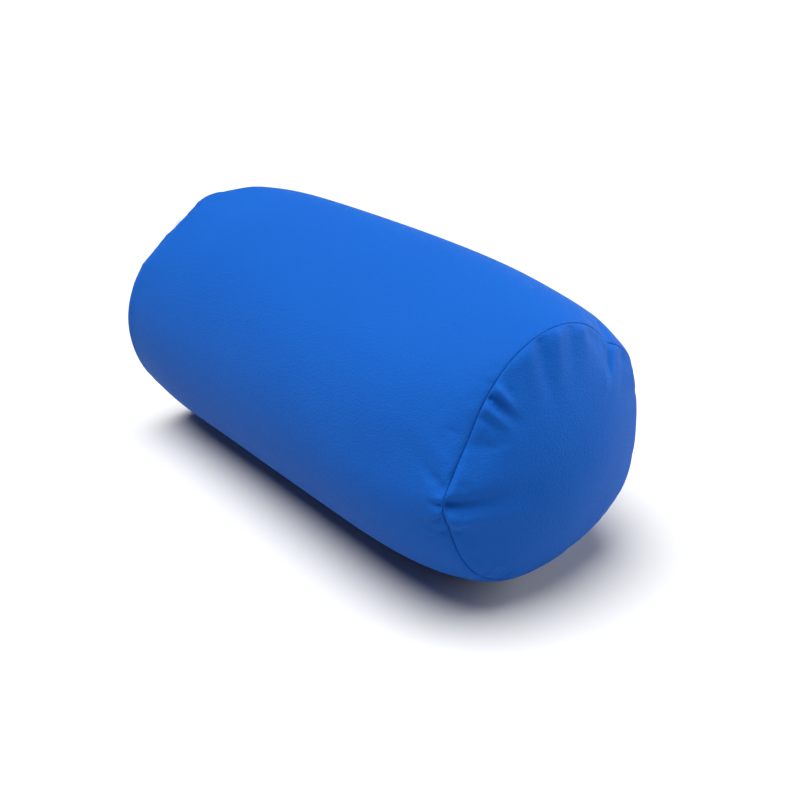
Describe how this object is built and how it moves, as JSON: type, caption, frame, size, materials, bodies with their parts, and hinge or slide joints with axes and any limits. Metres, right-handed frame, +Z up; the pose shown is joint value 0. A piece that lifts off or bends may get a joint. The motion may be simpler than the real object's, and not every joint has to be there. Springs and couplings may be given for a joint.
{
  "type": "bolster pillow",
  "caption": "Round stretch-knit bolster pillow filled with foam microbeads, with domed end panels sewn in at sunk seams.",
  "frame": {"origin": "middle of the flat patch that the pillow rests on, at the bottom centre of its box", "axes": "+X along the roll towards its right end, +Z up, +Y towards the side with the long seam"},
  "size_m": [0.3, 0.16, 0.156],
  "materials": {
    "cover_knit": "smooth satin-matte stretch knit",
    "cover_thread": "spun polyester thread",
    "label_satin": "blank satin ribbon",
    "liner_fabric": "thin plain weave",
    "liner_thread": "spun polyester thread",
    "foam_beads": "expanded polystyrene beads"
  },
  "bodies": {
    "root": {"cover_body": "cover_knit", "cover_end_right": "cover_knit", "cover_end_left": "cover_knit", "cover_seam_thread_right": "cover_thread", "cover_seam_thread_left": "cover_thread", "cover_side_thread": "cover_thread", "cover_overlock_right": "cover_thread", "cover_overlock_left": "cover_thread", "cover_overlock_side": "cover_thread", "cover_closing_thread": "cover_thread", "care_label": "label_satin", "liner_body": "liner_fabric", "liner_end_right": "liner_fabric", "liner_end_left": "liner_fabric", "liner_seam_thread_right": "liner_thread", "liner_seam_thread_left": "liner_thread", "liner_side_thread": "liner_thread", "liner_closing_thread": "liner_thread", "bead_fill": "foam_beads"}
  },
  "joints": []
}
